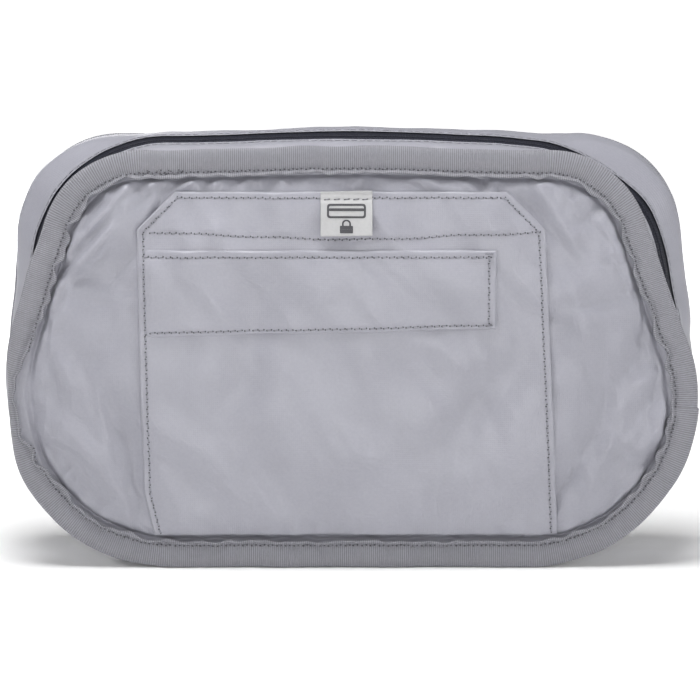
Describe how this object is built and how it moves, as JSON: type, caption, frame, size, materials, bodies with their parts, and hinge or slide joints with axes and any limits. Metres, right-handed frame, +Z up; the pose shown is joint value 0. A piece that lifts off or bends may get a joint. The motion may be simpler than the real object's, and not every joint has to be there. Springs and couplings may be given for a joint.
{
  "type": "money belt",
  "caption": "Waist pack turned inside out, lining outward, with bound seams, a curved zip, a patch pocket, a card pocket and the belt folded inside.",
  "frame": {"origin": "floor level under the middle of the pack, halfway between its front and rear", "axes": "+X to the right seen from the pocket side, +Y from the pocket panel to the rear panel, +Z up"},
  "size_m": [0.2896, 0.0838, 0.175],
  "materials": {
    "lining_fabric": "light grey nylon taffeta, fine plain weave with a soft sheen",
    "pocket_fabric": "the same taffeta, doubled at its hems",
    "binding_tape": "mid grey grosgrain tape, ribbed across its width",
    "shell_fabric": "dark navy coated nylon",
    "shield_foil": "metallised blocking cloth",
    "zip_tape": "dark navy woven zip tape",
    "zip_coil": "dark navy nylon coil",
    "label_weave": "off-white damask with dark grey threads",
    "slider_metal": "dark grey die cast with worn edges",
    "webbing": "dark navy herringbone webbing",
    "buckle_plastic": "black moulded acetal"
  },
  "bodies": {
    "pack": {"front_lining_lower": "lining_fabric", "front_shell_lower": "shell_fabric", "patch_pocket_lower": "pocket_fabric", "shield_liner_lower": "shield_foil", "front_binding_lower": "binding_tape", "bottom_gusset": "lining_fabric", "zip_strip_rear": "lining_fabric", "zip_tape_rear": "zip_tape", "zip_coil_rear": "zip_coil", "rear_lining": "lining_fabric", "rear_shell": "shell_fabric", "rear_binding": "binding_tape", "zip_end_tab_left": "shell_fabric", "zip_end_tab_right": "shell_fabric", "belt_anchor_left": "shell_fabric", "belt_anchor_right": "shell_fabric", "belt_webbing_left": "webbing", "belt_webbing_right": "webbing", "webbing_keeper": "webbing", "buckle_socket": "buckle_plastic"},
    "flap": {"front_lining_upper": "lining_fabric", "front_shell_upper": "shell_fabric", "patch_pocket_upper": "pocket_fabric", "shield_liner_upper": "shield_foil", "card_slip_pocket": "pocket_fabric", "front_binding_upper": "binding_tape", "zip_strip_front": "lining_fabric", "zip_tape_front": "zip_tape", "zip_coil_front": "zip_coil"},
    "label": {"woven_label": "label_weave"},
    "slider": {"zip_slider": "slider_metal"},
    "puller": {"zip_puller": "slider_metal"},
    "buckle": {"buckle_prongs": "buckle_plastic", "adjuster_webbing": "webbing"}
  },
  "joints": [
    {"name": "flap_open", "type": "hinge", "parent": "pack", "child": "flap", "pos_m": [0, -0.043, 0.088], "axis": [1, 0, 0], "range_deg": [0, 40]},
    {"name": "label_lift", "type": "hinge", "parent": "flap", "child": "label", "pos_m": [-0.0014, -0.03845, 0.149], "axis": [-1, 0, 0], "range_deg": [0, 80]},
    {"name": "zip_slider_travel", "type": "slide", "parent": "pack", "child": "slider", "axis": [0.1875, 0, 0.9823], "range_m": [0, 0.035]},
    {"name": "puller_swing", "type": "hinge", "parent": "slider", "child": "puller", "pos_m": [-0.12825, -0.01235, 0.0923], "axis": [0.3176, -0.9463, -0.0606], "range_deg": [0, 75]},
    {"name": "buckle_release", "type": "slide", "parent": "pack", "child": "buckle", "axis": [1, 0, 0], "range_m": [0, 0.022]}
  ]
}
